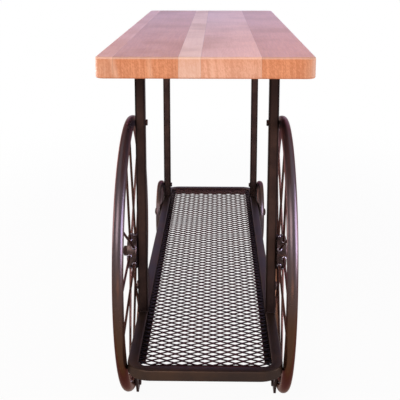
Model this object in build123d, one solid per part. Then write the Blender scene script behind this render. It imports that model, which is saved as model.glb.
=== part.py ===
from build123d import *
import os
from math import ceil, cos, radians, sin, tan

os.makedirs("parts", exist_ok=True)

# A narrow wagon wheel table: a butcher block top and an expanded metal shelf on a square
# tube frame, carried by two large and two small tube wheels. Millimetres, X across the
# table, Y along it (the large wheels are at the -Y end), Z up from the floor. The origin is
# on the floor, midway between the large rims' -Y side and the shelf's +Y end.

# top
top_middle_y = 6.0
top_length = 1524.0
top_width = 457.2
top_thickness = 45.0
table_height = 880.0
top_corner_radius = 20.0
top_edge_radius = 4.0
glue_lines = [-190.3, -55.6, -9.0, 116.3]

# square tube of the frame
tube_side = 25.0
tube_wall = 2.0
tube_corner = 2.5
frame_width = 353.0
near_leg_inset = 321.0
far_leg_inset = 114.0
plug_flange = 2.0
plug_depth = 12.0

# shelf
shelf_top = 185.5
shelf_overhang = 14.0
shelf_corner_radius = 55.0
bend_arm = 76.0
ledge_width = 16.0
ledge_thickness = 3.0
mesh_drop = 2.0
mesh_thickness = 3.0
mesh_clearance = 1.5
mesh_border = 5.0
diamond_length = 55.0
diamond_pitch = 44.0
strand_width = 6.0

# wheels
rim_tube_radius = 12.7
large_wheel_radius = 347.0
small_wheel_radius = 120.0
spoke_radius = 3.0
large_hub_radius = 42.0
small_hub_radius = 27.0
hub_width = 19.0
hub_edge = 2.0
hub_plate_lip = 2.0
hub_plate_thickness = 5.0
spoke_hub_heights = [6.0, 17.0]
spoke_rim_spread = 9.0
large_spoke_count = 12
large_spoke_phases = [0.0, 3.0]
small_spoke_count = 8
small_spoke_phases = [22.5, 22.5]
axle_radius = 8.0
bore_clearance = 0.2
washer_radius = 16.0
washer_thickness = 2.0
nut_across = 25.0
nut_thickness = 9.0
axle_end = 1.5
wheel_post_below_axle = 25.0

# straps that tie the large rims to the shelf frame
stay_width = 60.0
stay_thickness = 6.0
stay_bolt_angle = 167.0
stay_lean = 30.0
stay_floor_gap = 3.0

# fasteners
bolt_radius = 4.0
bolt_head_across = 14.0
bolt_head_height = 5.0
bolt_clearance = 0.3
bolt_depth_in_rim = 14.0
side_bolt_radius = 6.0
side_bolt_height = 255.0
side_bolt_across = 19.0
side_bolt_head = 3.5
side_bolt_length = 16.0
screw_radius = 2.5
screw_head_radius = 5.0
screw_head_height = 3.0
screw_depth_in_wood = 24.0
pilot_clearance = 0.1
screw_x = 90.0
side_screw_shares = [0.25, 0.75]

# worked out from the sizes above
near_leg_y = top_middle_y - top_length / 2 + near_leg_inset
far_leg_y = top_middle_y + top_length / 2 - far_leg_inset
middle_rail_y = (near_leg_y + far_leg_y) / 2
top_bottom = table_height - top_thickness
rail_bottom = top_bottom - tube_side
outer_face = frame_width / 2
inner_face = outer_face - tube_side
leg_x = outer_face - tube_side / 2
shelf_bottom = shelf_top - tube_side
shelf_length = top_length + 2 * shelf_overhang
shelf_end = shelf_length / 2
bend_end = shelf_end - bend_arm
mesh_top = shelf_top - mesh_drop
ledge_top = mesh_top - mesh_thickness
hub_outer = outer_face + hub_plate_thickness + hub_width
large_ring_radius = large_wheel_radius - rim_tube_radius
small_ring_radius = small_wheel_radius - rim_tube_radius
bolt_reach = tube_side + bolt_depth_in_rim


def save(shape, name):
    export_step(shape, f"parts/{name}.step")


def group(solids):
    return Compound(children=list(solids))


def sided(shape, side):
    """The right-hand shape as it is, or its mirror image on the left."""
    return shape if side == "right" else mirror(shape, about=Plane.YZ)


def tube_profile():
    inner_side = tube_side - 2 * tube_wall
    return RectangleRounded(tube_side, tube_side, tube_corner) - Rectangle(inner_side, inner_side)


def square_tube(start, end):
    """A square tube with its axis from start to end."""
    start, end = Vector(*start), Vector(*end)
    run = end - start
    across = Vector(0, 1, 0) if abs(run.X) > abs(run.Y) else Vector(1, 0, 0)
    plane = Plane(origin=start, x_dir=across, z_dir=run)
    return extrude(plane * tube_profile(), run.length)


def rod(start, end, radius):
    """A round bar from start to end."""
    start, end = Vector(*start), Vector(*end)
    run = end - start
    return extrude(Plane(origin=start, z_dir=run) * Circle(radius), run.length)


def hex_bolt(seat, inward, across, head_height, radius, length):
    """A bolt whose head stands on the seat and whose shank runs inward along X."""
    head = Plane(origin=seat, z_dir=(-inward, 0, 0)) * RegularPolygon(across / 2, 6, major_radius=False)
    shank = Plane(origin=seat, z_dir=(inward, 0, 0)) * Circle(radius)
    return extrude(head, head_height) + extrude(shank, length)


# ---- top: staves glued edge to edge, rounded as one block


def build_top(screw_points):
    block = extrude(RectangleRounded(top_width, top_length, top_corner_radius), top_thickness)
    block = fillet(block.faces().sort_by(Axis.Z)[-1].edges(), top_edge_radius)
    block = fillet(block.faces().sort_by(Axis.Z)[0].edges(), top_edge_radius)
    block = Pos(0, top_middle_y, top_bottom) * block
    for x, y in screw_points:
        pilot_top = top_bottom + screw_depth_in_wood
        block -= rod((x, y, top_bottom), (x, y, pilot_top), screw_radius + pilot_clearance)
    bounds = [-top_width / 2] + glue_lines + [top_width / 2]
    for number, (left, right) in enumerate(zip(bounds, bounds[1:]), start=1):
        slab = Box(right - left, top_length, top_thickness)
        slab = Pos((left + right) / 2, top_middle_y, top_bottom + top_thickness / 2) * slab
        save(block & slab, f"top_stave_{number}")


# ---- rails under the top, screwed up into the staves


def build_top_rails(screw_points):
    rail_z = rail_bottom + tube_side / 2
    near_end = near_leg_y - tube_side / 2
    far_end = far_leg_y + tube_side / 2
    holes = [
        rod((x, y, rail_bottom - 1), (x, y, top_bottom + 1), screw_radius + bolt_clearance)
        for x, y in screw_points
    ]
    for side, x in (("left", -leg_x), ("right", leg_x)):
        rail = square_tube((x, near_end, rail_z), (x, far_end, rail_z))
        save(rail - holes, f"top_rail_{side}")
    for name, y in (("near", near_leg_y), ("middle", middle_rail_y), ("far", far_leg_y)):
        rail = square_tube((-inner_face, y, rail_z), (inner_face, y, rail_z))
        save(rail - holes, f"top_cross_rail_{name}")


def build_screws(screw_points):
    screws = []
    for x, y in screw_points:
        head_bottom = rail_bottom - screw_head_height
        head = rod((x, y, head_bottom), (x, y, rail_bottom), screw_head_radius)
        shank = rod((x, y, rail_bottom), (x, y, top_bottom + screw_depth_in_wood), screw_radius)
        screws.append(head + shank)
    save(group(screws), "top_screws")


# ---- legs


def build_legs():
    places = (
        ("near", near_leg_y, large_wheel_radius + large_ring_radius),
        ("far", far_leg_y, small_wheel_radius + small_ring_radius),
    )
    for name, y, bolt_z in places:
        leg = square_tube((leg_x, y, shelf_top), (leg_x, y, rail_bottom))
        leg -= rod((inner_face - 1, y, bolt_z), (outer_face + 1, y, bolt_z), bolt_radius + bolt_clearance)
        if name == "near":
            leg -= rod((leg_x, y, side_bolt_height), (outer_face + 1, y, side_bolt_height), side_bolt_radius)
        for side in ("left", "right"):
            save(sided(leg, side), f"leg_{name}_{side}")


def wheel_post():
    """The tube under the shelf that carries a small wheel."""
    post_bottom = small_wheel_radius - wheel_post_below_axle
    return square_tube((leg_x, far_leg_y, post_bottom), (leg_x, far_leg_y, shelf_bottom))


def tube_plug(end, outward):
    """A cap with a spigot that closes an open tube end."""
    inner_side = tube_side - 2 * tube_wall
    plane = Plane(origin=end, x_dir=(1, 0, 0), z_dir=outward)
    cap = extrude(plane * RectangleRounded(tube_side, tube_side, tube_corner), plug_flange)
    spigot = extrude(plane * Rectangle(inner_side, inner_side), -plug_depth)
    return cap + spigot


def build_plugs():
    rail_z = rail_bottom + tube_side / 2
    post_bottom = small_wheel_radius - wheel_post_below_axle
    plugs = []
    for x in (-leg_x, leg_x):
        plugs.append(tube_plug((x, near_leg_y - tube_side / 2, rail_z), (0, -1, 0)))
        plugs.append(tube_plug((x, far_leg_y + tube_side / 2, rail_z), (0, 1, 0)))
        plugs.append(tube_plug((x, far_leg_y, post_bottom), (0, 0, -1)))
    save(group(plugs), "tube_plugs")


# ---- shelf: a bent tube ring, ledges inside it and expanded metal on the ledges


def shelf_ring(wall):
    """The ring of the shelf, set back by wall on every face of its tube."""
    outer = RectangleRounded(
        frame_width - 2 * wall, shelf_length - 2 * wall, shelf_corner_radius - wall
    )
    inner_inset = tube_side - wall
    inner = RectangleRounded(
        frame_width - 2 * inner_inset, shelf_length - 2 * inner_inset, shelf_corner_radius - inner_inset
    )
    ring = Pos(0, top_middle_y, shelf_bottom + wall) * extrude(outer - inner, tube_side - 2 * wall)
    if wall == 0:
        ends = ring.faces().filter_by(Axis.Z).edges()
        ring = fillet(ends, tube_corner)
    return ring


def build_shelf_frame():
    ring = shelf_ring(0) - shelf_ring(tube_wall)
    middle_z = shelf_bottom + tube_side / 2
    arm_box = Box(frame_width, bend_arm, tube_side)
    for name, sign in (("near", -1), ("far", 1)):
        arm_y = top_middle_y + sign * (shelf_end - bend_arm / 2)
        save(ring & (Pos(0, arm_y, middle_z) * arm_box), f"shelf_bend_{name}")
    for side in ("left", "right"):
        rail_start = (leg_x, top_middle_y - bend_end, middle_z)
        rail = square_tube(rail_start, (leg_x, top_middle_y + bend_end, middle_z))
        save(sided(rail, side), f"shelf_rail_{side}")


def build_ledges():
    inner_corner = shelf_corner_radius - tube_side
    inner_end = shelf_end - tube_side
    z = ledge_top - ledge_thickness / 2
    side_length = 2 * (inner_end - inner_corner)
    end_length = 2 * (inner_face - inner_corner)
    for side in ("left", "right"):
        bar = Box(ledge_width, side_length, ledge_thickness)
        bar = Pos(inner_face - ledge_width / 2, top_middle_y, z) * bar
        save(sided(bar, side), f"shelf_ledge_{side}")
    for name, sign in (("near", -1), ("far", 1)):
        bar_y = top_middle_y + sign * (inner_end - ledge_width / 2)
        bar = Box(end_length, ledge_width, ledge_thickness)
        save(Pos(0, bar_y, z) * bar, f"shelf_ledge_{name}")


def build_mesh():
    """A flat sheet with staggered diamonds, each cut whole inside the border."""
    half_width = inner_face - mesh_clearance
    half_length = shelf_end - tube_side - mesh_clearance
    corner = shelf_corner_radius - tube_side - mesh_clearance
    outline = RectangleRounded(2 * half_width, 2 * half_length, corner)
    reach_x = half_width - mesh_border
    reach_y = half_length - mesh_border
    half_long = diamond_length / 2 - strand_width
    half_short = diamond_pitch / 2 - strand_width / 2
    diamond = make_face(
        Polyline((-half_long, 0), (0, -half_short), (half_long, 0), (0, half_short), close=True)
    )
    rows = ceil(2 * reach_y / (diamond_pitch / 2))
    columns = ceil(reach_x / diamond_length)
    places = []
    for row in range(-rows // 2, rows // 2 + 1):
        y = row * diamond_pitch / 2
        shift = diamond_length / 2 if row % 2 else 0
        for column in range(-columns, columns + 1):
            x = column * diamond_length + shift
            in_corner = (
                abs(x) + half_long > half_width - corner and abs(y) + half_short > half_length - corner
            )
            if abs(x) + half_long <= reach_x and abs(y) + half_short <= reach_y and not in_corner:
                places.append((x, y))
    sheet = outline - [Pos(x, y) * diamond for x, y in places]
    save(Pos(0, top_middle_y, ledge_top) * extrude(sheet, mesh_thickness), "shelf_mesh")


# ---- wheels: a tube rim, round spokes in two planes and a hub bolted to the leg


def wheel_frame(y, radius):
    """The place of a right-hand wheel: its axle line along +X at the leg's outer face."""
    return Plane(origin=(outer_face, y, radius), x_dir=(0, 0, 1), z_dir=(1, 0, 0))


def rim(ring_radius, bolt_angles):
    """A round tube bent into a ring, with a blind hole for each bolt from the inner side."""
    section = Plane.XZ * Pos(ring_radius, rim_tube_radius) * Circle(rim_tube_radius)
    holes = []
    for angle in bolt_angles:
        x = ring_radius * cos(radians(angle))
        y = ring_radius * sin(radians(angle))
        holes.append(rod((x, y, -1), (x, y, bolt_depth_in_rim), bolt_radius))
    skin = []
    for start in (-90, 90):
        half = Rot(0, 0, start) * revolve(section, Axis.Z, 180) - holes
        flat = half.faces().filter_by(GeomType.PLANE)
        joint = [face for face in flat if abs(face.normal_at().Z) < 0.5]
        skin += [face for face in half.faces() if face not in joint]
    return Solid(Shell(skin))


def hub(radius):
    drum = Cylinder(radius, hub_width, align=(Align.CENTER, Align.CENTER, Align.MIN))
    drum = chamfer(drum.faces().sort_by(Axis.Z)[-1].edges(), hub_edge)
    drum = Pos(0, 0, hub_plate_thickness) * drum
    return drum - rod((0, 0, 0), (0, 0, hub_plate_thickness + hub_width + 1), axle_radius + bore_clearance)


def hub_plate(radius):
    plate = rod((0, 0, 0), (0, 0, hub_plate_thickness), radius + hub_plate_lip)
    return plate - rod((0, 0, -1), (0, 0, hub_plate_thickness + 1), axle_radius + bore_clearance)


def spokes(ring_radius, hub_radius, count, phase):
    """Round bars that cross over, from each side of the hub to the other side of the rim."""
    ring = Pos(0, 0, rim_tube_radius) * Torus(ring_radius, rim_tube_radius)
    drum = rod((0, 0, hub_plate_thickness), (0, 0, hub_plate_thickness + hub_width), hub_radius)
    plate = rod((0, 0, 0), (0, 0, hub_plate_thickness), hub_radius + hub_plate_lip)
    bars = []
    for number in range(2):
        foot = Vector(hub_radius, 0, spoke_hub_heights[number])
        tip_height = rim_tube_radius + (0.5 - number) * spoke_rim_spread
        tip = Vector(ring_radius - rim_tube_radius, 0, tip_height)
        overrun = (tip - foot).normalized() * 2 * spoke_radius
        bar = rod(foot - overrun, tip + overrun, spoke_radius) - drum - plate - ring
        bar = bar.solids().sort_by(SortBy.VOLUME)[-1]
        for turn in range(number, count, 2):
            bars.append(Rot(0, 0, phase + turn * 360 / count) * bar)
    return bars


def axle():
    tip = hub_outer - outer_face + washer_thickness + nut_thickness + axle_end
    return rod((0, 0, 0), (0, 0, tip), axle_radius)


def washer():
    ring = rod((0, 0, 0), (0, 0, washer_thickness), washer_radius)
    ring -= rod((0, 0, -1), (0, 0, washer_thickness + 1), axle_radius + bore_clearance)
    return Pos(0, 0, hub_outer - outer_face) * ring


def nut():
    block = extrude(RegularPolygon(nut_across / 2, 6, major_radius=False), nut_thickness)
    block -= rod((0, 0, -1), (0, 0, nut_thickness + 1), axle_radius + pilot_clearance)
    return Pos(0, 0, hub_outer - outer_face + washer_thickness) * block


def build_wheels():
    kinds = (
        ("large", near_leg_y, large_wheel_radius, large_ring_radius, large_hub_radius,
         large_spoke_count, large_spoke_phases, (0, stay_bolt_angle)),
        ("small", far_leg_y, small_wheel_radius, small_ring_radius, small_hub_radius,
         small_spoke_count, small_spoke_phases, (0,)),
    )
    nuts, washers = [], []
    for name, y, radius, ring_radius, hub_radius, count, phases, bolt_angles in kinds:
        place = wheel_frame(y, radius).location
        pieces = {
            "rim": rim(ring_radius, bolt_angles),
            "hub": hub(hub_radius),
            "hub_plate": hub_plate(hub_radius),
            "axle": axle(),
        }
        for side, phase in zip(("left", "right"), phases):
            bars = spokes(ring_radius, hub_radius, count, phase)
            for piece, shape in pieces.items():
                save(sided(place * shape, side), f"{name}_{piece}_{side}")
            save(group(sided(place * bar, side) for bar in bars), f"{name}_spokes_{side}")
            nuts.append(sided(place * nut(), side))
            washers.append(sided(place * washer(), side))
    save(group(nuts), "axle_nuts")
    save(group(washers), "axle_washers")


# ---- straps, and the bolts of the rims and legs


def stay_bolt_point():
    """The strap's bolt on the rim's centre line; angles run from the wheel's top to the -Y end."""
    angle = radians(stay_bolt_angle)
    return near_leg_y - large_ring_radius * sin(angle), large_wheel_radius + large_ring_radius * cos(angle)


def build_stays():
    """Flat straps that lean from the rim's foot to the underside of the shelf rails."""
    bolt_y, bolt_z = stay_bolt_point()
    half = stay_width / 2
    slope = tan(radians(stay_lean))
    foot_y = bolt_y + slope * (bolt_z - stay_floor_gap)
    head_y = bolt_y - slope * (shelf_bottom - bolt_z)
    outline = make_face(
        Polyline(
            (foot_y - half, stay_floor_gap), (foot_y + half, stay_floor_gap),
            (head_y + half, shelf_bottom), (head_y - half, shelf_bottom), close=True
        )
    )
    plane = Plane(origin=(outer_face, 0, 0), x_dir=(0, 1, 0), z_dir=(1, 0, 0))
    strap = extrude(plane * outline, -stay_thickness)
    hole_start = (outer_face - stay_thickness - 1, bolt_y, bolt_z)
    strap -= rod(hole_start, (outer_face + 1, bolt_y, bolt_z), bolt_radius + bolt_clearance)
    for side in ("left", "right"):
        save(sided(strap, side), f"rim_stay_{side}")


def build_bolts():
    rim_bolts, stay_bolts, side_bolts = [], [], []
    near_top = (inner_face, near_leg_y, large_wheel_radius + large_ring_radius)
    far_top = (inner_face, far_leg_y, small_wheel_radius + small_ring_radius)
    y, z = stay_bolt_point()
    stay_seat = (outer_face - stay_thickness, y, z)
    side_seat = (outer_face, near_leg_y, side_bolt_height)
    for side in ("left", "right"):
        for seat in (near_top, far_top):
            bolt = hex_bolt(seat, 1, bolt_head_across, bolt_head_height, bolt_radius, bolt_reach)
            rim_bolts.append(sided(bolt, side))
        bolt = hex_bolt(
            stay_seat, 1, bolt_head_across, bolt_head_height, bolt_radius,
            stay_thickness + bolt_depth_in_rim
        )
        stay_bolts.append(sided(bolt, side))
        bolt = hex_bolt(
            side_seat, -1, side_bolt_across, side_bolt_head, side_bolt_radius, side_bolt_length
        )
        side_bolts.append(sided(bolt, side))
    save(group(rim_bolts), "rim_bolts")
    save(group(stay_bolts), "stay_bolts")
    save(group(side_bolts), "leg_bolts")


screw_places = [(x, y) for x in (-screw_x, screw_x) for y in (near_leg_y, middle_rail_y, far_leg_y)]
side_screw_y = [near_leg_y + share * (far_leg_y - near_leg_y) for share in side_screw_shares]
screw_places += [(x, y) for x in (-leg_x, leg_x) for y in side_screw_y]

build_top(screw_places)
build_top_rails(screw_places)
build_screws(screw_places)
build_legs()
for post_side in ("left", "right"):
    save(sided(wheel_post(), post_side), f"wheel_post_{post_side}")
build_plugs()
build_shelf_frame()
build_ledges()
build_mesh()
build_wheels()
build_stays()
build_bolts()
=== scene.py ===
import bmesh
import bpy
import numpy as np
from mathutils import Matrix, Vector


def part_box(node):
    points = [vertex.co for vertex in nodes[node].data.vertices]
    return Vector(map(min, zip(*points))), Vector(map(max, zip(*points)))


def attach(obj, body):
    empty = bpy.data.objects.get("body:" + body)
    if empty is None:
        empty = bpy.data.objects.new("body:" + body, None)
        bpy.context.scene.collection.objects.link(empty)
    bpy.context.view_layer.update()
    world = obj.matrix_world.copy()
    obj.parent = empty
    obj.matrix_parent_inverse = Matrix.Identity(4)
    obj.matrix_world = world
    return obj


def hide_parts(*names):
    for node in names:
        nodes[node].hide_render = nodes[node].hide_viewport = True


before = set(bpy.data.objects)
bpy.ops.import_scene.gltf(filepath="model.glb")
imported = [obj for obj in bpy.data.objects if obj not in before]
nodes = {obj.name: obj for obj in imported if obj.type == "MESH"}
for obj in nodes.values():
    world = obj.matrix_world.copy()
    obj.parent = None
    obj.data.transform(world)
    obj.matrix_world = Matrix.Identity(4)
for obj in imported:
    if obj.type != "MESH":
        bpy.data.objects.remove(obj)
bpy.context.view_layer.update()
print("frame loaded:", len(nodes), "CAD nodes")

newPieces = []
tubeWrap = (False, True)  # a grid that closes round its profile only
ringWrap = (True, True)  # and one that closes along its path as well


def gridFaces(rows, columns, closedRows=False, closedColumns=False):
    # quads over a rows x columns grid of points, wrapped round where a side is closed
    i = np.arange(rows if closedRows else rows - 1)
    j = np.arange(columns if closedColumns else columns - 1)
    i, j = [a.ravel() for a in np.meshgrid(i, j, indexing="ij")]
    nextI, nextJ = (i + 1) % rows, (j + 1) % columns
    corners = [(i, j), (nextI, j), (nextI, nextJ), (i, nextJ)]
    return np.stack([a * columns + b for a, b in corners], axis=1)


def buildPiece(name, grids, material, standsFor, sharp, wrap, marks=None):
    # each grid is rows x columns x 3; grids become one mesh, with doubles merged and faces outward
    # an edge that turns by more than sharp degrees stays sharp, and wrap says how a grid closes
    # marks, one number for every point, are kept as the piece's own attribute, which its finish uses to
    # paint shade on the corners
    points, faces, count = [], [], 0
    for grid in grids:
        rows, columns = grid.shape[:2]
        faces.append(gridFaces(rows, columns, *wrap) + count)
        points.append(grid.reshape(-1, 3))
        count += rows * columns
    mesh = bpy.data.meshes.new(name)
    mesh.from_pydata(np.concatenate(points).tolist(), [], np.concatenate(faces).tolist())
    if marks is not None:
        mesh.attributes.new("corner", "FLOAT", "POINT").data.foreach_set("value", np.ravel(marks))
    work = bmesh.new()
    work.from_mesh(mesh)
    bmesh.ops.remove_doubles(work, verts=work.verts, dist=1e-6)
    bmesh.ops.dissolve_degenerate(work, edges=work.edges, dist=1e-7)
    bmesh.ops.recalc_face_normals(work, faces=work.faces)
    work.to_mesh(mesh)
    work.free()
    mesh.polygons.foreach_set("use_smooth", np.ones(len(mesh.polygons), bool))
    mesh.set_sharp_from_angle(angle=np.radians(sharp))
    mesh.materials.append(material)
    piece = bpy.data.objects.new(name, mesh)
    bpy.context.scene.collection.objects.link(piece)
    newPieces.append(piece)
    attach(piece, "root")
    if standsFor:
        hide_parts(*standsFor)


def sweep(path, side, up, profile):
    # point (i, j) = path i + side i * profile j across + up i * profile j upward
    across = side[:, None, :] * profile[None, :, 0, None]
    return path[:, None, :] + across + up[:, None, :] * profile[None, :, 1, None]


def capEnds(grid):
    # closes both ends of a swept tube with a ring drawn in to its middle
    first = grid[:1].mean(axis=1, keepdims=True).repeat(grid.shape[1], axis=1)
    last = grid[-1:].mean(axis=1, keepdims=True).repeat(grid.shape[1], axis=1)
    return np.concatenate([first, grid, last])


def circle(radius, count):
    # profile points at equal angles round a circle
    angle = np.linspace(0, 2 * np.pi, count, endpoint=False)
    return np.stack([radius * np.cos(angle), radius * np.sin(angle)], axis=1)


squareCorners = np.array([[1, 1], [-1, 1], [-1, -1], [1, -1]])


def roundedSquare(width, corner, perCorner):
    # profile of a square with arcs for corners, counter-clockwise
    arc = np.linspace(0, np.pi / 2, perCorner)
    points = []
    for turn in range(4):
        angle = arc + turn * np.pi / 2
        middle = (width / 2 - corner) * squareCorners[turn]
        points.append(middle + corner * np.stack([np.cos(angle), np.sin(angle)], axis=1))
    return np.concatenate(points)


def squareTo(axis):
    # two directions at right angles to an axis and to each other
    steep = abs(axis[2]) >= 0.9
    helper = np.array([1.0, 0, 0]) if steep else np.array([0, 0, 1.0])
    side = np.cross(helper, axis)
    side /= np.linalg.norm(side)
    return side, np.cross(axis, side)


def rodGrid(start, end, radius, count):
    # a straight round bar: a circle carried from start to end, closed at both ends
    run = (end - start) / np.linalg.norm(end - start)
    side, up = squareTo(run)
    path = np.stack([start, end])
    grid = sweep(path, np.stack([side, side]), np.stack([up, up]), circle(radius, count))
    return capEnds(grid)


def lathe(centre, axis, profile, count, shape=None):
    # profile (radius, height) turned about axis; shape(angle) scales the radius for hexagons
    axis = np.array(axis, float)
    side, up = squareTo(axis)
    angle = np.linspace(0, 2 * np.pi, count, endpoint=False)
    profile = np.array(profile, float)
    radius = profile[:, :1] * np.ones((1, count)) if shape is None else shape(profile[:, 0], angle)
    ring = np.cos(angle)[None, :, None] * side + np.sin(angle)[None, :, None] * up
    return np.array(centre, float) + radius[:, :, None] * ring + profile[:, 1, None, None] * axis


class Wire:
    # a socket that takes part in ordinary arithmetic; each operation adds a Math node
    def __init__(self, tree, socket):
        self.tree, self.socket = tree, socket

    def maths(self, operation, first, second=None):
        node = self.tree.nodes.new("ShaderNodeMath")
        node.operation = operation
        for slotNumber, value in enumerate((first, second)):
            if isinstance(value, Wire):
                self.tree.links.new(value.socket, node.inputs[slotNumber])
            elif value is not None:
                node.inputs[slotNumber].default_value = value
        return Wire(self.tree, node.outputs[0])

    def __add__(self, other):
        return self.maths("ADD", self, other)

    def __radd__(self, other):
        return self.maths("ADD", other, self)

    def __sub__(self, other):
        return self.maths("SUBTRACT", self, other)

    def __rsub__(self, other):
        return self.maths("SUBTRACT", other, self)

    def __mul__(self, other):
        return self.maths("MULTIPLY", self, other)

    def __rmul__(self, other):
        return self.maths("MULTIPLY", other, self)

    def __pow__(self, other):
        return self.maths("POWER", self, other)

    def __rpow__(self, other):
        return self.maths("POWER", other, self)

    def beside(self, output):
        # another output of the same node
        return Wire(self.tree, self.socket.node.outputs[output])

    def smallest(self, other):
        return self.maths("MINIMUM", self, other)

    def size(self):
        return self.maths("ABSOLUTE", self)


class Finish:
    # the nodes of one material, or of the world
    def __init__(self, name, holder=None):
        self.material = holder or bpy.data.materials.new(name)
        self.material.use_nodes = True
        self.tree = self.material.node_tree
        self.tree.nodes.clear()

    def node(self, kind, settings=None, inputs=None, output=0):
        made = self.tree.nodes.new(kind)
        for key, value in (settings or {}).items():
            setattr(made, key, value)
        for key, value in (inputs or {}).items():
            if isinstance(value, Wire):
                self.tree.links.new(value.socket, made.inputs[key])
            else:
                made.inputs[key].default_value = value
        return Wire(self.tree, made.outputs[output]) if made.outputs else None

    def place(self, scale=(1, 1, 1), shift=(0, 0, 0)):
        # the piece's own coordinates in metres, stretched and moved
        spot = self.node("ShaderNodeTexCoord", output="Object")
        return self.node("ShaderNodeMapping", {}, {"Vector": spot, "Scale": scale, "Location": shift})

    def axes(self, spot):
        # a place taken apart into its three numbers
        x = self.node("ShaderNodeSeparateXYZ", {}, {"Vector": spot})
        return [x, x.beside(1), x.beside(2)]

    def joined(self, x, y, z):
        # and put together again
        return self.node("ShaderNodeCombineXYZ", {}, {"X": x, "Y": y, "Z": z})

    def noise(self, spot, scale, detail, roughness):
        # a random cloud between 0 and 1, scale waves to the metre
        inputs = {"Vector": spot, "Scale": scale, "Detail": detail, "Roughness": roughness}
        return self.node("ShaderNodeTexNoise", {}, inputs, "Fac")

    def ramp(self, factor, stops):
        # a factor stretched smoothly between two places
        inputs = {"Value": factor, "From Min": stops[0], "From Max": stops[1]}
        return self.node("ShaderNodeMapRange", {"interpolation_type": "SMOOTHSTEP"}, inputs)

    def blend(self, factor, first, second, mode="MIX"):
        # first where the factor is 0, and second laid over it where it is 1
        settings = {"data_type": "RGBA", "blend_type": mode}
        return self.node("ShaderNodeMix", settings, {0: factor, 6: first, 7: second}, 2)

    def bump(self, height, strength, distance):
        # a height in units of distance, as a normal
        inputs = {"Height": height, "Strength": strength, "Distance": distance}
        return self.node("ShaderNodeBump", {}, inputs)

    def seenRays(self):
        # 1 on what is seen directly, in gloss or through glass, and 0 in the light itself
        camera = self.node("ShaderNodeLightPath", output="Is Camera Ray")
        seen = camera + camera.beside("Is Glossy Ray") + camera.beside("Is Transmission Ray")
        return seen.smallest(1.0)

    def surface(self, inputs):
        shader = self.node("ShaderNodeBsdfPrincipled", {}, inputs)
        self.node("ShaderNodeOutputMaterial", {}, {"Surface": shader})
        return self.material


steelLook = {
    "cloudShare": 0.75, "warmRange": (0.38, 0.66), "speckleSize": 900.0,
    "peelSize": 260.0, "peelStrength": 0.08, "peelDepth": 0.0006,
    "cloudGloss": 0.12, "glossShift": 0.05, "specular": 0.2,
    "lowReflectionRange": (0.24, 0.50),  # heights between which a rim is painted browner, a painted warm reflection from below
    "underTop": (0.66, 0.845), "underShade": 0.62,  # heights over which a leg is painted darker, as painted shade up under the top
    "cornerShade": 0.75, "legShadeColour": (0.007, 0.004, 0.0035, 1),
    "beyondFade": 0.002, "beyondShadeColour": (0.007, 0.0055, 0.0055, 1),
}


def bronzeSteel(name, deep, warm, edgeTint, roughness, metallic, patchSize, lowWarmReflection=0.0,
                paintedLegShade=False, shadedBeyond=None):
    # a dark bronze coat: slow brown clouds, a fine speckle and an orange-peel skin
    look = steelLook
    finish = Finish(name)
    spot = finish.place()
    clouds = finish.noise(spot, patchSize, detail=4.0, roughness=0.6)
    speckle = finish.noise(spot, look["speckleSize"], detail=2.0, roughness=0.7)
    warmth = clouds * look["cloudShare"] + speckle * (1.0 - look["cloudShare"])
    warmth = finish.ramp(warmth, look["warmRange"])
    # painted reflection: the lower part of a rim is painted warmer, standing in for the warm floor it
    # reflects
    if lowWarmReflection:
        low = 1.0 - finish.ramp(finish.axes(spot)[2], look["lowReflectionRange"])
        warmth = (warmth * (1.0 - lowWarmReflection) + lowWarmReflection * low).smallest(1.0)
    peel = finish.noise(spot, look["peelSize"], detail=2.0, roughness=0.5)
    colour = finish.blend(warmth, deep, warm)
    if paintedLegShade:
        # painted shade: the coat is darkened along the rounded corners and up under the top, where shade
        # falls
        corner = finish.node("ShaderNodeAttribute", {"attribute_name": "corner"}, output="Fac")
        under = finish.ramp(finish.axes(spot)[2], look["underTop"])
        shade = (corner * look["cornerShade"] + under * look["underShade"]).smallest(1.0)
        colour = finish.blend(shade, colour, look["legShadeColour"])
    if shadedBeyond:
        # painted shade: past this distance from the middle the strands lie over the ledges and are
        # darkened, as no light comes through from below there
        beyond = finish.ramp(finish.axes(spot)[0].size(), (shadedBeyond, shadedBeyond + look["beyondFade"]))
        colour = finish.blend(beyond, colour, look["beyondShadeColour"])
    return finish.surface({
        "Base Color": colour,
        "Metallic": metallic,
        "Roughness": roughness + clouds * look["cloudGloss"] - look["glossShift"],
        "Specular IOR Level": look["specular"],
        "Specular Tint": edgeTint,
        "Normal": finish.bump(peel, look["peelStrength"], look["peelDepth"]),
    })


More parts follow.
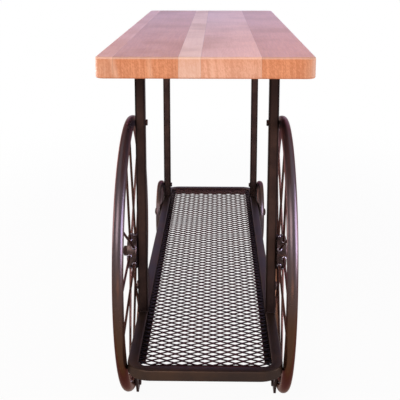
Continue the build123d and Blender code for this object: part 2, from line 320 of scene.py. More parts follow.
steelFinishes = {
    "bronzeSteel": {"deep": (0.028, 0.0172, 0.0155, 1), "warm": (0.050, 0.029, 0.0235, 1),
                    "edgeTint": (0.42, 0.36, 0.36, 1), "roughness": 0.36, "metallic": 0.75,
                    "patchSize": 14.0},
    "legSteel": {"deep": (0.0265, 0.0163, 0.0147, 1), "warm": (0.048, 0.028, 0.0225, 1),
                 "edgeTint": (0.42, 0.36, 0.36, 1), "roughness": 0.36, "metallic": 0.75,
                 "patchSize": 14.0, "paintedLegShade": True},
    # painted light: the shelf frame's steel is a lighter copy of the frame steel, standing in for the
    # coloured sheen lamp it does not take
    "shelfLitSteel": {"deep": (0.039, 0.0262, 0.0226, 1), "warm": (0.060, 0.0355, 0.0250, 1),
                   "edgeTint": (0.365, 0.345, 0.335, 1), "roughness": 0.36, "metallic": 0.72,
                   "patchSize": 14.0},
    "rimSteel": {"deep": (0.070, 0.054, 0.060, 1), "warm": (0.071, 0.0325, 0.0160, 1),
                 "edgeTint": (0.44, 0.27, 0.22, 1), "roughness": 0.28, "metallic": 0.85,
                 "patchSize": 9.0, "lowWarmReflection": 0.85},
    "smallRimSteel": {"deep": (0.055, 0.043, 0.048, 1), "warm": (0.066, 0.042, 0.034, 1),
                      "edgeTint": (0.44, 0.30, 0.28, 1), "roughness": 0.28, "metallic": 0.85,
                      "patchSize": 9.0},
    "spokeSteel": {"deep": (0.036, 0.017, 0.0135, 1), "warm": (0.078, 0.037, 0.029, 1),
                   "edgeTint": (0.45, 0.30, 0.28, 1), "roughness": 0.25, "metallic": 0.80,
                   "patchSize": 20.0},
    "hubSteel": {"deep": (0.030, 0.019, 0.018, 1), "warm": (0.070, 0.045, 0.041, 1),
                 "edgeTint": (0.5, 0.42, 0.42, 1), "roughness": 0.26, "metallic": 0.80,
                 "patchSize": 40.0},
    "beadSteel": {"deep": (0.10, 0.085, 0.10, 1), "warm": (0.24, 0.20, 0.23, 1),
                  "edgeTint": (0.9, 0.85, 0.95, 1), "roughness": 0.14, "metallic": 0.95,
                  "patchSize": 60.0},
    "meshSteel": {"deep": (0.030, 0.0105, 0.0080, 1), "warm": (0.060, 0.0200, 0.0150, 1),
                  "edgeTint": (0.46, 0.32, 0.30, 1), "roughness": 0.30, "metallic": 0.75,
                  "patchSize": 25.0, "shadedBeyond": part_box("shelf_ledge_right")[0].x},
    "seamSteel": {"deep": (0.012, 0.008, 0.007, 1), "warm": (0.024, 0.015, 0.013, 1),
                  "edgeTint": (0.25, 0.2, 0.2, 1), "roughness": 0.45, "metallic": 0.75,
                  "patchSize": 30.0},
}
steels = {name: bronzeSteel(name, **look) for name, look in steelFinishes.items()}

plugLook = {"grainSize": 1500.0, "dark": (0.010, 0.010, 0.011, 1), "light": (0.022, 0.021, 0.021, 1),
            "roughness": 0.5, "grainGloss": 0.15, "bumpStrength": 0.2, "bumpDepth": 0.0002}


def plugPlastic():
    # black moulded plastic with a fine even texture
    look = plugLook
    finish = Finish("plugPlastic")
    grain = finish.noise(finish.place(), look["grainSize"], detail=2.0, roughness=0.6)
    return finish.surface({
        "Base Color": finish.blend(grain, look["dark"], look["light"]),
        "Roughness": look["roughness"] + grain * look["grainGloss"],
        "Normal": finish.bump(grain, look["bumpStrength"], look["bumpDepth"]),
    })


# light and dark are the growth layers, upper tones the upper face, and the +X factor paints a sheen that
# lightens its +X side;
# the far share is how much a painted sheen pales the upper face towards the far end
woodLook = {
    "top_stave_1": {"light": (0.73, 0.365, 0.22, 1), "dark": (0.60, 0.25, 0.13, 1),
                    "upper": (1.10, 1.05, 0.95, 1), "rightSheenGain": 1.0, "farSheenShare": 0.13, "seed": 3.1},
    "top_stave_2": {"light": (0.79, 0.347, 0.177, 1), "dark": (0.585, 0.208, 0.089, 1),
                    "upper": (0.80, 0.75, 0.58, 1), "rightSheenGain": 1.12, "farSheenShare": 0.13, "seed": 11.7},
    "top_stave_3": {"light": (0.97, 0.66, 0.52, 1), "dark": (0.88, 0.54, 0.395, 1),
                    "upper": (1.03, 0.97, 0.80, 1), "rightSheenGain": 1.0, "farSheenShare": 0.0, "seed": 23.2},
    "top_stave_4": {"light": (0.86, 0.474, 0.325, 1), "dark": (0.70, 0.33, 0.202, 1),
                    "upper": (0.99, 0.93, 0.80, 1), "rightSheenGain": 1.22, "farSheenShare": 0.27, "seed": 37.9},
    "top_stave_5": {"light": (0.84, 0.372, 0.197, 1), "dark": (0.64, 0.234, 0.105, 1),
                    "upper": (0.88, 0.815, 0.62, 1), "rightSheenGain": 1.12, "farSheenShare": 0.20, "seed": 51.4},
}
# waves are counted to the metre across, along and up; face and arris are measured down from a
# stave's top, oiled up from its foot, and rise from the foot to short of the top
grainLook = {
    "bend": {"waves": (2.2, 0.7, 2.2), "detail": 2.0, "rough": 0.5},
    "layers": {"waves": (240.0, 6.0, 4.0), "detail": 6.0, "rough": 0.66, "share": 0.34},
    "broad": {"waves": (34.0, 4.0, 2.0), "detail": 2.0, "rough": 0.5, "share": 0.16},
    "flecks": {"waves": (360.0, 22.0, 190.0), "detail": 3.0, "rough": 0.7, "share": 0.34},
    "fibres": {"waves": (950.0, 24.0, 332.5), "detail": 3.0, "rough": 0.65, "share": 0.16},
    "figure": {"waves": (6, 5, 6), "detail": 3.0, "rough": 0.5},
    "leanShare": 0.05, "bendShare": 0.05, "fleckSlant": 0.35, "toneRange": (0.43, 0.575),
    "faceRange": (0.005, 0.001), "topCalm": 0.5,
    "figureRange": (0.36, 0.66), "figureDepth": 0.34, "figureColour": (0.42, 0.17, 0.10, 1),
    "sapWander": 0.01, "sapTopFade": 0.85, "sapColour": (0.93, 0.64, 0.47, 1),
    "riseRange": (0.018, 0.004), "riseShare": 0.20, "riseColour": (0.68, 0.23, 0.08, 1),
    "farSheenRange": (-0.55, 0.45), "farSheenColour": (0.95, 0.78, 0.76, 1),
    "arrisRange": (0.0050, 0.0028), "arrisTop": 0.0006, "arrisShare": 0.30,
    "arrisHighlightColour": (0.98, 0.80, 0.72, 1),
    "oiledRange": (0.0015, 0.0045), "oiledShare": 0.4, "oiledColour": (0.66, 0.20, 0.07, 1),
    "seamWidth": 0.0007, "seamDepth": 0.45, "seamColour": (0.22, 0.085, 0.04, 1), "seamDip": 1.5,
    "roughness": 0.40, "fibreGloss": 0.14, "figureGloss": 0.05, "specular": 0.34,
    "bumpStrength": 0.10, "bumpDepth": 0.0004, "bumpFibres": 0.6, "bumpLayers": 0.4,
}
# pale sapwood streaks running the length of the block
sapStreaks = [
    {"at": -0.194, "lean": 0.22, "halfWidth": 0.010, "share": 0.42},
    {"at": -0.117, "lean": 0.10, "halfWidth": 0.008, "share": 0.26},
    {"at": 0.012, "lean": 0.05, "halfWidth": 0.007, "share": 0.18},
    {"at": 0.226, "lean": 0.0, "halfWidth": 0.030, "share": 0.30},
]


def staveWood(name, look, low, high):
    # upright growth layers across X that fade and return along Y, fine fibres, and a soft figure
    grain = grainLook
    finish = Finish(name + "Wood")
    seed, sheenGain = look["seed"], look["rightSheenGain"]
    x, y, z = finish.axes(finish.place())
    under, over = low[2], high[2]

    def placed(part, shift):
        # a noise fixed in the block
        spot = finish.place(grain[part]["waves"], shift)
        return finish.noise(spot, 1.0, grain[part]["detail"], grain[part]["rough"])

    def carried(part, across, shift):
        # a noise that follows the bent growth layers
        waves = grain[part]["waves"]
        spot = finish.joined(across * waves[0], y * waves[1], z * waves[2] + shift)
        return finish.noise(spot, 1.0, grain[part]["detail"], grain[part]["rough"])

    bend = placed("bend", (seed, 0, 0))
    layer = x + z * grain["leanShare"] + bend * grain["bendShare"]
    layers = carried("layers", layer, seed)
    broad = carried("broad", layer, seed * 2)
    fibres = placed("fibres", (seed, 0, 0))
    figure = placed("figure", (seed, seed, 0))
    flecks = carried("flecks", layer + z * grain["fleckSlant"], seed)
    tone = (layers * grain["layers"]["share"] + broad * grain["broad"]["share"]
            + flecks * grain["flecks"]["share"] + fibres * grain["fibres"]["share"])
    tone = finish.ramp(tone, grain["toneRange"])

    # the planed upper face shows the grain more softly than the sawn ends
    calm = grain["topCalm"]
    face = finish.ramp(z, [over - depth for depth in grain["faceRange"]])
    tone = tone * (1.0 - face * calm) + face * (calm / 2)
    shaded = finish.blend(tone, look["dark"], look["light"])
    for sap in sapStreaks:
        if low[0] - sap["halfWidth"] < sap["at"] < high[0] + sap["halfWidth"]:
            off = (x - sap["at"] + (over - z) * -sap["lean"] + (bend - 0.5) * grain["sapWander"]).size()
            streak = 1.0 - finish.ramp(off, (0.0, sap["halfWidth"]))
            streak = streak * (1.0 - face * grain["sapTopFade"]) * sap["share"]
            shaded = finish.blend(streak, shaded, grain["sapColour"])
    figureTone = finish.ramp(figure, grain["figureRange"])
    shaded = finish.blend(grain["figureDepth"] * figureTone, shaded, grain["figureColour"])

    # the end grain drinks more oil towards the top
    riseStart, riseEnd = grain["riseRange"]
    rise = finish.ramp(z, (under + riseStart, over - riseEnd)) * (1.0 - face)
    shaded = finish.blend(rise * grain["riseShare"], shaded, grain["riseColour"])
    # the oiled upper face has weathered, and a painted sheen makes it a little lighter on the +X side of a
    # stave
    shaded = finish.blend(face, shaded, finish.blend(1.0, shaded, look["upper"], "MULTIPLY"))
    rightSheenShare = finish.ramp(x, (low[0], high[0])) * face
    shaded = finish.blend(rightSheenShare, shaded, (sheenGain, sheenGain, sheenGain, 1), "MULTIPLY")
    # painted sheen: the upper face also pales towards the far end
    pale = finish.ramp(y, grain["farSheenRange"]) * face
    shaded = finish.blend(pale * look["farSheenShare"], shaded, grain["farSheenColour"])

    # painted highlight: the upper arris is painted paler, as if it caught the light, and the lower one
    # keeps more of the oil
    arris = finish.ramp(z, [over - depth for depth in grain["arrisRange"]])
    arris = arris * (1.0 - finish.ramp(z, (over - grain["arrisTop"], over)))
    shaded = finish.blend(arris * grain["arrisShare"], shaded, grain["arrisHighlightColour"])
    oiled = 1.0 - finish.ramp(z, [under + height for height in grain["oiledRange"]])
    shaded = finish.blend(oiled * grain["oiledShare"], shaded, grain["oiledColour"])
    # a dark hairline where two staves are glued
    edge = (x - low[0]).size().smallest((x - high[0]).size())
    seam = 1.0 - finish.ramp(edge, (0.0, grain["seamWidth"]))
    shaded = finish.blend(seam * grain["seamDepth"], shaded, grain["seamColour"])
    height = fibres * grain["bumpFibres"] + layers * grain["bumpLayers"] - seam * grain["seamDip"]
    return finish.surface({
        "Base Color": shaded,
        "Roughness": grain["roughness"] + fibres * grain["fibreGloss"] + figureTone * grain["figureGloss"],
        "Specular IOR Level": grain["specular"],
        "Normal": finish.bump(height, grain["bumpStrength"], grain["bumpDepth"]),
    })


def dressNode(name, material):
    # a CAD node keeps its shape and takes a finish
    holder = nodes[name]
    holder.data.materials.clear()
    holder.data.materials.append(material)


blackPlastic = plugPlastic()
for name in nodes:
    if name in woodLook:
        dressNode(name, staveWood(name, woodLook[name], *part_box(name)))
    elif name == "tube_plugs":
        dressNode(name, blackPlastic)
    else:
        dressNode(name, steels["bronzeSteel"])
print("finishes made:", len(bpy.data.materials))

# sizes that the pieces share, read from the frame
legLow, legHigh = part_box("leg_near_right")
outerFace = legHigh.x
innerFace = legLow.x
tubeSide = outerFace - innerFace
sides = {"left": -1.0, "right": 1.0}
kinds = ("large", "small")

rimLook = {"turns": 220, "round": 36, "weldAngle": 205.0, "weldWidth": 0.9, "weldHeight": 0.00035,
           "steel": {"large": "rimSteel", "small": "smallRimSteel"}}


def rimGrid(name):
    # a circle of the tube's radius carried round a ring in the YZ plane, with a ground weld
    # where the ends meet: the circle swells there by a bell curve of the angle
    low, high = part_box(name)
    tube = (high.x - low.x) / 2
    middle = (np.array(low) + np.array(high)) / 2
    ring = (high.z - low.z) / 2 - tube
    turn = np.linspace(0, 2 * np.pi, rimLook["turns"], endpoint=False)
    away = (np.degrees(turn) - rimLook["weldAngle"]) / rimLook["weldWidth"]
    bulge = 1 + rimLook["weldHeight"] / tube * np.exp(-away ** 2)
    outward = np.stack([turn * 0, -np.sin(turn), np.cos(turn)], axis=1)
    across = np.array([1.0, 0, 0]) * bulge[:, None]
    return sweep(middle + ring * outward, outward * bulge[:, None], across, circle(tube, rimLook["round"]))


for kind in kinds:
    for side in sides:
        node = f"{kind}_rim_{side}"
        material = steels[rimLook["steel"][kind]]
        buildPiece(f"{kind}Rim_{side}", [rimGrid(node)], material, [node], sharp=80, wrap=ringWrap)
print("rims made")

# spokes cross over between hub and rim, with a bead of weld at each end
spokeLook = {
    "large": {"count": 12, "phase": {"left": 0.0, "right": 3.0}, "hubRadius": 0.042},
    "small": {"count": 8, "phase": {"left": 22.5, "right": 22.5}, "hubRadius": 0.027},
    "hubHeights": (0.006, 0.017), "rimSpread": 0.009,
    "radius": 0.003, "round": 16, "footSink": 0.003, "tipSink": 0.0015,
    "beadGap": 0.0006, "beadSteps": 21, "beadRound": 8, "ripples": 7, "rippleDepth": 0.16,
    "foot": {"beadRadius": 0.0027, "beadShift": 0.0008},
    "tip": {"beadRadius": 0.0016, "beadShift": -0.0004},
}


def wheelPlace(kind):
    # the wheel's middle in Y and Z, its ring's radius and its tube's radius
    low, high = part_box(f"{kind}_rim_right")
    tube = (high.x - low.x) / 2
    return (low.y + high.y) / 2, (low.z + high.z) / 2, (high.z - low.z) / 2 - tube, tube


def beadGrid(centre, axis, ring, bead):
    # a small ring of weld round a bar, its thickness rippling as the passes of the torch
    turn = np.linspace(0, 2 * np.pi, spokeLook["beadSteps"], endpoint=False)
    thick = bead * (1 + spokeLook["rippleDepth"] * np.sin(spokeLook["ripples"] * turn))
    axis = np.array(axis, float) / np.linalg.norm(axis)
    helper = np.array([1.0, 0, 0]) if abs(axis[0]) < 0.9 else np.array([0, 1.0, 0])
    first = np.cross(axis, helper)
    first /= np.linalg.norm(first)
    second = np.cross(axis, first)
    outward = np.cos(turn)[:, None] * first + np.sin(turn)[:, None] * second
    path = np.array(centre) + ring * outward
    profile = circle(1.0, spokeLook["beadRound"])
    return sweep(path, outward * thick[:, None], axis[None, :] * thick[:, None], profile)


def spokeLines(kind, side):
    # foot on the hub and tip on the rim of every bar, alternating between the two sides
    y, z, ring, tube = wheelPlace(kind)
    look, sign = spokeLook[kind], sides[side]
    lines = []
    for number in range(look["count"]):
        plane = number % 2
        angle = np.radians(look["phase"][side] + number * 360 / look["count"])
        outward = np.array([0, -np.sin(angle), np.cos(angle)])
        hubX = outerFace + spokeLook["hubHeights"][plane]
        rimX = outerFace + tube + (0.5 - plane) * spokeLook["rimSpread"]
        tipDrop = tube - np.sqrt(tube ** 2 - (rimX - outerFace - tube) ** 2)
        foot = np.array([sign * hubX, y, z]) + look["hubRadius"] * outward
        tip = np.array([sign * rimX, y, z]) + (ring - tube + tipDrop) * outward
        lines.append((foot, tip))
    return lines


for kind in kinds:
    for side in sides:
        bars, beads = [], []
        for foot, tip in spokeLines(kind, side):
            run = (tip - foot) / np.linalg.norm(tip - foot)
            start, end = foot - run * spokeLook["footSink"], tip + run * spokeLook["tipSink"]
            bars.append(rodGrid(start, end, spokeLook["radius"], spokeLook["round"]))
            for part, spot in (("foot", foot), ("tip", tip)):
                look = spokeLook[part]
                ring = spokeLook["radius"] + spokeLook["beadGap"]
                beads.append(beadGrid(spot + run * look["beadShift"], run, ring, look["beadRadius"]))
        node = f"{kind}_spokes_{side}"
        buildPiece(f"{kind}Spokes_{side}", bars, steels["spokeSteel"], [node], sharp=50, wrap=tubeWrap)
        buildPiece(f"{kind}SpokeWelds_{side}", beads, steels["beadSteel"], (), sharp=80, wrap=ringWrap)
print("spokes made")

# hubs are turned drums on a flange, with the axle's end through them
hubLook = {
    "large": {"radius": 0.042, "boss": 0.021},
    "small": {"radius": 0.027, "boss": 0.019},
    "edge": 0.0022, "edgeSteps": 6, "faceDish": 0.0012, "dishFrom": 2.2, "dishTo": 2.6,
    "bossFoot": 0.002, "bossSide": 0.0005, "bossShoulder": 0.0002, "bossLip": 0.0006,
    "flangeEdge": 0.0009,
    "pinChamfer": 0.0012, "drillMouth": 0.0028, "drillFloor": 0.0018, "drillTip": 0.0014,
    "steps": {"hub": 48, "hub_plate": 64, "axle": 32},
}


def drumProfile(radius, boss, inner, outer, bore):
    # a drum with rounded rims, a shallow dished face and a raised boss round the bore
    look = hubLook
    edge, floor = look["edge"], outer - look["faceDish"]
    turn = np.linspace(0, np.pi / 2, look["edgeSteps"])
    rounded = [(radius - edge + edge * np.cos(a), outer - edge + edge * np.sin(a)) for a in turn]
    face = [(radius - look["dishFrom"] * edge, outer), (radius - look["dishTo"] * edge, floor),
            (boss + look["bossFoot"], floor), (boss + look["bossSide"], outer - look["bossShoulder"]),
            (boss - look["bossLip"], outer), (bore, outer)]
    return [(bore, inner), (radius, inner)] + rounded + face + [(bore, inner)]


def flangeProfile(radius, inner, outer, bore):
    # a flat disc with both edges broken
    edge = hubLook["flangeEdge"]
    return [(bore, inner), (radius - edge, inner), (radius, inner + edge),
            (radius, outer - edge), (radius - edge, outer), (bore, outer), (bore, inner)]


def pinProfile(radius, inner, tip):
    # a round bar with a broken end and the small hole of the lathe's centre
    chamfer = hubLook["pinChamfer"]
    return [(0, inner), (radius, inner), (radius, tip - chamfer), (radius - chamfer, tip),
            (hubLook["drillMouth"], tip), (hubLook["drillFloor"], tip - chamfer),
            (0, tip - hubLook["drillTip"])]


for kind in kinds:
    y, z = wheelPlace(kind)[:2]
    radius, boss = hubLook[kind]["radius"], hubLook[kind]["boss"]
    drumLow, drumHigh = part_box(f"{kind}_hub_right")
    plateLow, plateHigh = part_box(f"{kind}_hub_plate_right")
    axleLow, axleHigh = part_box(f"{kind}_axle_right")
    bore = (axleHigh.z - axleLow.z) / 2
    plateRadius = (plateHigh.z - plateLow.z) / 2
    turned = {
        "Hub": ("hub", drumProfile(radius, boss, drumLow.x, drumHigh.x, bore)),
        "HubPlate": ("hub_plate", flangeProfile(plateRadius, plateLow.x, plateHigh.x, bore)),
        "Axle": ("axle", pinProfile(bore, axleLow.x, axleHigh.x)),
    }
    for side, sign in sides.items():
        for title, (part, profile) in turned.items():
            grid = lathe((0, y, z), (sign, 0, 0), profile, hubLook["steps"][part])
            node = f"{kind}_{part}_{side}"
            material = steels["hubSteel"]
            buildPiece(f"{kind}{title}_{side}", [grid], material, [node], sharp=35, wrap=tubeWrap)
print("hubs made")

# nuts, washers and bolt heads; dome is the share of a head's height that its cone takes
fastenerLook = {
    "nut": {"across": 0.0235, "height": 0.009, "dome": 0.06, "turn": np.pi / 6},
    "bolt": {"across": 0.014, "height": 0.005, "dome": 0.16},
    "side": {"across": 0.019, "height": 0.0035, "dome": 0.2},
    "washerBore": 0.008, "washerRadius": 0.016, "washerThickness": 0.002,
    "washerBack": 0.0005, "washerFront": 0.0004,
    "headTop": 0.97, "headSteps": 48, "washerSteps": 40,
}


def hexHead(centre, axis, across, height, dome, turn=0.0):
    # a hexagon prism whose corners are cut by a cone, as on a forged bolt head
    half = across / 2
    corner = half / np.cos(np.pi / 6)

    def hexRadius(limits, angle):
        flat = half / np.cos(((angle + turn) % (np.pi / 3)) - np.pi / 6)
        return np.minimum(limits[:, None], flat[None, :])

    shoulder = height - height * dome
    top = half * fastenerLook["headTop"]
    profile = [(0, 0), (corner, 0), (corner, shoulder), (top, height), (0, height)]
    return lathe(centre, axis, profile, fastenerLook["headSteps"], hexRadius)


def washerProfile(seat):
    # a stamped washer under a nut that sits at seat, rounder at the back than at the front
    look = fastenerLook
    bore, radius, foot = look["washerBore"], look["washerRadius"], seat - look["washerThickness"]
    back, front = look["washerBack"], look["washerFront"]
    return [(bore, foot), (radius - back, foot), (radius, foot + back), (radius, seat - front),
            (radius - front, seat), (bore, seat), (bore, foot)]


def middleOf(name):
    # the middle of a node in Y and Z
    low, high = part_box(name)
    return (low.y + high.y) / 2, (low.z + high.z) / 2


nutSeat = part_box("axle_nuts")[1].x - fastenerLook["nut"]["height"]
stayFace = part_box("rim_stay_right")[0].x
nutGrids, washerGrids, boltGrids, stayGrids, sideGrids = [], [], [], [], []
for sign in sides.values():
    outward, inward = (sign, 0, 0), (-sign, 0, 0)
    for kind in kinds:
        y, z, ring = wheelPlace(kind)[:3]
        nutGrids.append(hexHead((sign * nutSeat, y, z), outward, **fastenerLook["nut"]))
        washer = lathe((0, y, z), outward, washerProfile(nutSeat), fastenerLook["washerSteps"])
        washerGrids.append(washer)
        boltGrids.append(hexHead((sign * innerFace, y, z + ring), inward, **fastenerLook["bolt"]))
    stayPlace = (sign * stayFace, *middleOf("stay_bolts"))
    stayGrids.append(hexHead(stayPlace, inward, **fastenerLook["bolt"]))
    sidePlace = (sign * outerFace, *middleOf("leg_bolts"))
    sideGrids.append(hexHead(sidePlace, outward, **fastenerLook["side"]))
buildPiece("axleNuts", nutGrids, steels["bronzeSteel"], ["axle_nuts"], sharp=30, wrap=tubeWrap)
buildPiece("axleWashers", washerGrids, steels["hubSteel"], ["axle_washers"], sharp=30, wrap=tubeWrap)
buildPiece("rimBoltHeads", boltGrids, steels["hubSteel"], ["rim_bolts"], sharp=30, wrap=tubeWrap)
buildPiece("stayBoltHeads", stayGrids, steels["hubSteel"], ["stay_bolts"], sharp=30, wrap=tubeWrap)
buildPiece("legBoltHeads", sideGrids, steels["hubSteel"], ["leg_bolts"], sharp=30, wrap=tubeWrap)
print("fasteners made")

# the shelf frame is a square tube carried round a rounded rectangle
ringLook = {"corner": 0.055, "edge": 0.003, "arcSteps": 24}
bendLow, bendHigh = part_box("shelf_bend_near")
farLow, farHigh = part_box("shelf_bend_far")
shelfHeight = (bendLow.z + bendHigh.z) / 2
tubeMiddle = outerFace - tubeSide / 2


def bendPath(endY, armY, sign):
    # arm, quarter arc, cross run, quarter arc and arm, on the tube's middle line
    radius = ringLook["corner"] - tubeSide / 2
    midEnd = endY - sign * tubeSide / 2
    angle = np.linspace(0, np.pi / 2, ringLook["arcSteps"])
    rightX = tubeMiddle - radius + radius * np.cos(angle)
    rightY = midEnd - sign * radius + sign * radius * np.sin(angle)
    leftX, leftY = -rightX[::-1], rightY[::-1]
    x = np.concatenate([[tubeMiddle], rightX, leftX, [-tubeMiddle]])
    y = np.concatenate([[armY], rightY, leftY, [armY]])
    return np.stack([x, y], axis=1)


def flatSweep(plan, height, profile):
    # a profile carried along a plan line at one height, square to the line
    step = np.gradient(plan, axis=0)
    step /= np.linalg.norm(step, axis=1, keepdims=True)
    side = np.stack([step[:, 1], -step[:, 0], step[:, 0] * 0], axis=1)
    up = np.zeros_like(side)
    up[:, 2] = 1
    path = np.column_stack([plan, np.full(len(plan), height)])
    return sweep(path, side, up, profile)


tubeProfile = roundedSquare(tubeSide, ringLook["edge"], perCorner=6)
shelfPlans = {
    "Bend_near": ("shelf_bend_near", bendPath(bendLow.y, bendHigh.y, -1)),
    "Bend_far": ("shelf_bend_far", bendPath(farHigh.y, farLow.y, 1)),
}
for side, sign in sides.items():
    run = np.array([[sign * tubeMiddle, bendHigh.y], [sign * tubeMiddle, farLow.y]])
    shelfPlans[f"Rail_{side}"] = (f"shelf_rail_{side}", run)
for title, (node, plan) in shelfPlans.items():
    grid = capEnds(flatSweep(plan, shelfHeight, tubeProfile))
    buildPiece(f"shelf{title}", [grid], steels["shelfLitSteel"], [node], sharp=50, wrap=tubeWrap)
print("shelf frame made")

# legs are square tubes with rolled corners, standing on the shelf frame
legLook = {"corner": 0.0028, "band": 0.0030}
legNames = [f"leg_{end}_{side}" for end in ("near", "far") for side in sides]
postNames = [f"wheel_post_{side}" for side in sides]


def markedSquare(width, corner, band, perCorner):
    # a rounded square with one more point a little way in on each flat, and a mark of 1 on corners
    points, marks = [], []
    for turn in range(4):
        angle = np.linspace(0, np.pi / 2, perCorner) + turn * np.pi / 2
        middle = (width / 2 - corner) * squareCorners[turn]
        arc = middle + corner * np.stack([np.cos(angle), np.sin(angle)], axis=1)
        before = arc[0] + band * np.array([np.sin(angle[0]), -np.cos(angle[0])])
        after = arc[-1] + band * np.array([-np.sin(angle[-1]), np.cos(angle[-1])])
        points.append(np.concatenate([[before], arc, [after]]))
        marks.append([0] + [1] * perCorner + [0])
    return np.concatenate(points), np.concatenate(marks)


legProfile, legMarks = markedSquare(tubeSide, legLook["corner"], legLook["band"], perCorner=5)
for name in legNames + postNames:
    low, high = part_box(name)
    path = np.array([[(low.x + high.x) / 2, (low.y + high.y) / 2, z] for z in (low.z, high.z)])
    side, up = np.array([[1.0, 0, 0]] * 2), np.array([[0, 1.0, 0]] * 2)
    grid = capEnds(sweep(path, side, up, legProfile))
    marks = np.tile(legMarks, len(grid))
    buildPiece(f"{name}Tube", [grid], steels["legSteel"], [name], sharp=50, wrap=tubeWrap, marks=marks)
print("legs made")

# expanded metal: flat ribbons pulled into waves that meet at their crests
meshLook = {"diamondLength": 0.0348, "diamondWidth": 0.0228, "strand": 0.0044, "gauge": 0.0019,
            "selvedge": 0.005, "tilt": -6.0, "perDiamond": 12, "bond": 0.16, "overlap": 0.8}
meshLow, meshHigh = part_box("shelf_mesh")


def ribbonGrids():
    # y = a row's own middle + (half a pitch less most of half a strand) * wave(x), where the wave
    # is a triangle with flat crests and every other row starts half a diamond later
    halfWidth = (meshHigh.x - meshLow.x) / 2
    pitch = meshLook["diamondWidth"] / 2
    rows = int((meshHigh.y - meshLow.y) / pitch) - 1
    firstY = (meshLow.y + meshHigh.y) / 2 - (rows - 1) * pitch / 2
    count = int(2 * halfWidth / meshLook["diamondLength"] * meshLook["perDiamond"])
    x = np.linspace(-halfWidth, halfWidth, count)
    tilt = np.radians(meshLook["tilt"])
    halfStrand, halfGauge = meshLook["strand"] / 2, meshLook["gauge"] / 2
    corners = np.array([[-1, -1], [1, -1], [1, 1], [-1, 1]]) * [halfStrand, halfGauge]
    turned = corners @ np.array([[np.cos(tilt), np.sin(tilt)], [-np.sin(tilt), np.cos(tilt)]])
    middleZ = (meshLow.z + meshHigh.z) / 2
    grids = []
    for row in range(rows):
        phase = x / meshLook["diamondLength"] + row / 2
        triangle = 4 * np.abs(phase % 1 - 0.5) - 1
        wave = np.clip(triangle / (1 - meshLook["bond"]), -1, 1)
        y = firstY + row * pitch + wave * (pitch / 2 - halfStrand * meshLook["overlap"])
        slope = np.gradient(y, x)
        scale = 1 / np.sqrt(1 + slope ** 2)
        side = np.stack([-slope * scale, scale, 0 * x], axis=1)
        up = np.zeros_like(side)
        up[:, 2] = 1
        path = np.stack([x, y, 0 * x + middleZ], axis=1)
        grids.append(capEnds(sweep(path, side, up, turned)))
    # the sheared ends keep a straight strand
    side, up = np.array([[0, 1.0, 0]] * 2), np.array([[0, 0, 1.0]] * 2)
    straight = corners * [meshLook["selvedge"] / 2 / halfStrand, 1]
    for endY, sign in ((meshLow.y, 1), (meshHigh.y, -1)):
        y = endY + sign * meshLook["selvedge"] / 2
        path = np.array([[-halfWidth, y, middleZ], [halfWidth, y, middleZ]])
        grids.append(capEnds(sweep(path, side, up, straight)))
    return grids


ribbons = ribbonGrids()
buildPiece("shelfMesh", ribbons, steels["meshSteel"], ["shelf_mesh"], sharp=30, wrap=tubeWrap)
print("expanded metal made:", len(ribbons), "ribbons")

# welds where the tubes meet; the turns set where a bead's ripples start
weldLook = {"radius": 0.0018, "ripple": 0.0045, "rippleDepth": 0.18, "corner": 0.003, "steps": 120,
            "round": 8, "lowTurn": 9, "highTurn": 5}


def squareBead(centre, height, startTurn=0.0):
    # a bead round the end of a square tube, its thickness a sine of the way along it
    plan = roundedSquare(tubeSide, weldLook["corner"], perCorner=4)
    closed = np.concatenate([plan, plan[:1]])
    lengths = np.concatenate([[0], np.cumsum(np.linalg.norm(np.diff(closed, axis=0), axis=1))])
    along = np.linspace(0, lengths[-1], weldLook["steps"], endpoint=False)
    x = np.interp(along, lengths, closed[:, 0])
    y = np.interp(along, lengths, closed[:, 1])
    outward = np.stack([x, y, 0 * x], axis=1)
    outward /= np.linalg.norm(outward, axis=1, keepdims=True)
    wave = np.sin(2 * np.pi * along / weldLook["ripple"] + startTurn)
    thick = weldLook["radius"] * (1 + weldLook["rippleDepth"] * wave)
    up = np.zeros_like(outward)
    up[:, 2] = 1
    path = np.stack([centre[0] + x, centre[1] + y, 0 * x + height], axis=1)
    profile = circle(1.0, weldLook["round"])
    return sweep(path, outward * thick[:, None], up * thick[:, None], profile)


beads = []
for name in legNames + postNames:
    low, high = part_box(name)
    middle = ((low.x + high.x) / 2, (low.y + high.y) / 2)
    if name in legNames:
        beads.append(squareBead(middle, low.z, low.y * weldLook["lowTurn"]))
        beads.append(squareBead(middle, high.z, low.y * weldLook["highTurn"]))
    else:
        beads.append(squareBead(middle, high.z))
buildPiece("tubeWelds", beads, steels["seamSteel"], (), sharp=80, wrap=ringWrap)
print("welds made")

floorLook = {"half": 12.0, "white": 0.95, "fade": (0.7, 2.2), "stretch": 0.4, "mottleSize": 3.0,
             "dark": (0.74, 0.69, 0.65, 1), "light": (0.80, 0.76, 0.72, 1)}


def paleFloor():
    # a pale matt floor: it takes the shadow, and shows near white to the camera and in gloss,
    # more fully so away from the table's own shadow
    finish = Finish("paleFloor")
    spot = finish.place()
    mottle = finish.noise(spot, floorLook["mottleSize"], detail=3.0, roughness=0.5)
    colour = finish.blend(mottle, floorLook["dark"], floorLook["light"])
    x, y = finish.axes(spot)[:2]
    away = finish.ramp((x * x + y * y * floorLook["stretch"]) ** 0.5, floorLook["fade"])
    diffuse = finish.node("ShaderNodeBsdfDiffuse", {}, {"Color": colour})
    white = finish.node("ShaderNodeEmission", {}, {"Color": (1, 1, 1, 1), "Strength": 1.0})
    share = finish.seenRays() * (floorLook["white"] + (1.0 - floorLook["white"]) * away)
    both = finish.node("ShaderNodeMixShader", {}, {0: share, 1: diffuse, 2: white})
    finish.node("ShaderNodeOutputMaterial", {}, {"Surface": both})
    return finish.material


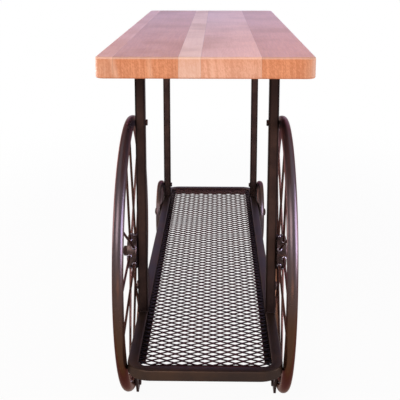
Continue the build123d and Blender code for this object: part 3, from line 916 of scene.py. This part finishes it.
half = floorLook["half"]
floorCorners = [(-half, -half, 0), (half, -half, 0), (half, half, 0), (-half, half, 0)]
floorMesh = bpy.data.meshes.new("floor")
floorMesh.from_pydata(floorCorners, [], [(0, 1, 2, 3)])
floorMesh.materials.append(paleFloor())
floor = bpy.data.objects.new("floor", floorMesh)
bpy.context.scene.collection.objects.link(floor)

lampLook = {
    "frontKey": {"place": (-1.20, -2.85, 2.35), "aim": (0, -0.6, 0.6), "wide": 2.2, "tall": 1.7,
                 "power": 66.0, "colour": (1.0, 0.96, 0.95)},
    "rightSheen": {"place": (1.9, -0.95, 0.95), "aim": (0, -0.6, 0.5), "wide": 1.3, "tall": 1.2,
                   "power": 82.0, "colour": (0.66, 0.68, 1.0), "steelOnly": True},
    "rightFill": {"place": (2.3, -0.3, 0.50), "aim": (0, -0.1, 0.6), "wide": 1.8, "tall": 0.6,
                  "power": 24.0, "colour": (1.0, 0.95, 0.97)},
    "leftSoft": {"place": (-2.3, 0.3, 0.52), "aim": (0, 0.0, 0.5), "wide": 0.8, "tall": 0.6,
                 "power": 20.0, "colour": (1.0, 0.85, 0.80)},
    "lowWarm": {"place": (0.1, -2.6, 0.14), "aim": (0, -0.7, 0.12), "wide": 1.4, "tall": 0.24,
                "power": 4.0, "colour": (1.0, 0.55, 0.28)},
    "backFill": {"place": (-2.3, 2.3, 0.50), "aim": (0, 0.6, 0.6), "wide": 1.2, "tall": 0.6,
                 "power": 18.0, "colour": (1.0, 0.90, 0.84)},
    "backSheen": {"place": (0.5, 4.2, 2.15), "aim": (0, 0.0, 0.9), "wide": 4.0, "tall": 2.4,
                  "power": 39.0, "colour": (0.26, 0.26, 1.0)},
}
# the coloured sheen is for the frame and wheels; wood and shelf stay in the plain light
steelPieces = bpy.data.collections.new("steelPieces")
for piece in newPieces:
    if not piece.name.startswith("shelf"):
        steelPieces.objects.link(piece)


def addLamp(name, place, aim, wide, tall, power, colour, steelOnly=False):
    # a soft box aimed at a point
    data = bpy.data.lights.new(name, "AREA")
    data.shape = "RECTANGLE"
    data.size = wide
    data.size_y = tall
    data.energy = power
    data.color = colour
    lamp = bpy.data.objects.new(name, data)
    bpy.context.scene.collection.objects.link(lamp)
    lamp.location = place
    lamp.visible_camera = False
    if steelOnly:
        lamp.light_linking.receiver_collection = steelPieces
    toward = Vector(aim) - Vector(place)
    lamp.rotation_euler = toward.to_track_quat("-Z", "Y").to_euler()


for lampName, lampData in lampLook.items():
    addLamp(lampName, **lampData)

worldLook = {"soft": {"Color": (0.93, 0.92, 1.0, 1), "Strength": 0.30},
             "shown": {"Color": (1, 1, 1, 1), "Strength": 1.0}}
world = bpy.data.worlds.new("studio")
bpy.context.scene.world = world
studio = Finish("studio", world)
soft = studio.node("ShaderNodeBackground", {}, worldLook["soft"])
shown = studio.node("ShaderNodeBackground", {}, worldLook["shown"])
choose = studio.node("ShaderNodeMixShader", {}, {0: studio.seenRays(), 1: soft, 2: shown})
studio.node("ShaderNodeOutputWorld", {}, {"Surface": choose})

cameraLook = {"place": (0.025, -2.4983, 1.0828), "down": 0.2243, "turn": 0.0205,
              "lens": 76.67, "sensor": 36.0, "shiftY": -0.125}
cameraData = bpy.data.cameras.new("camera")
cameraData.lens = cameraLook["lens"]
cameraData.sensor_width = cameraLook["sensor"]
cameraData.shift_y = cameraLook["shiftY"]
camera = bpy.data.objects.new("camera", cameraData)
bpy.context.scene.collection.objects.link(camera)
camera.location = cameraLook["place"]
camera.rotation_euler = (np.pi / 2 - cameraLook["down"], 0, cameraLook["turn"])
bpy.context.scene.camera = camera
bpy.context.scene.view_settings.view_transform = "Standard"
print("stage, lamps and camera set")
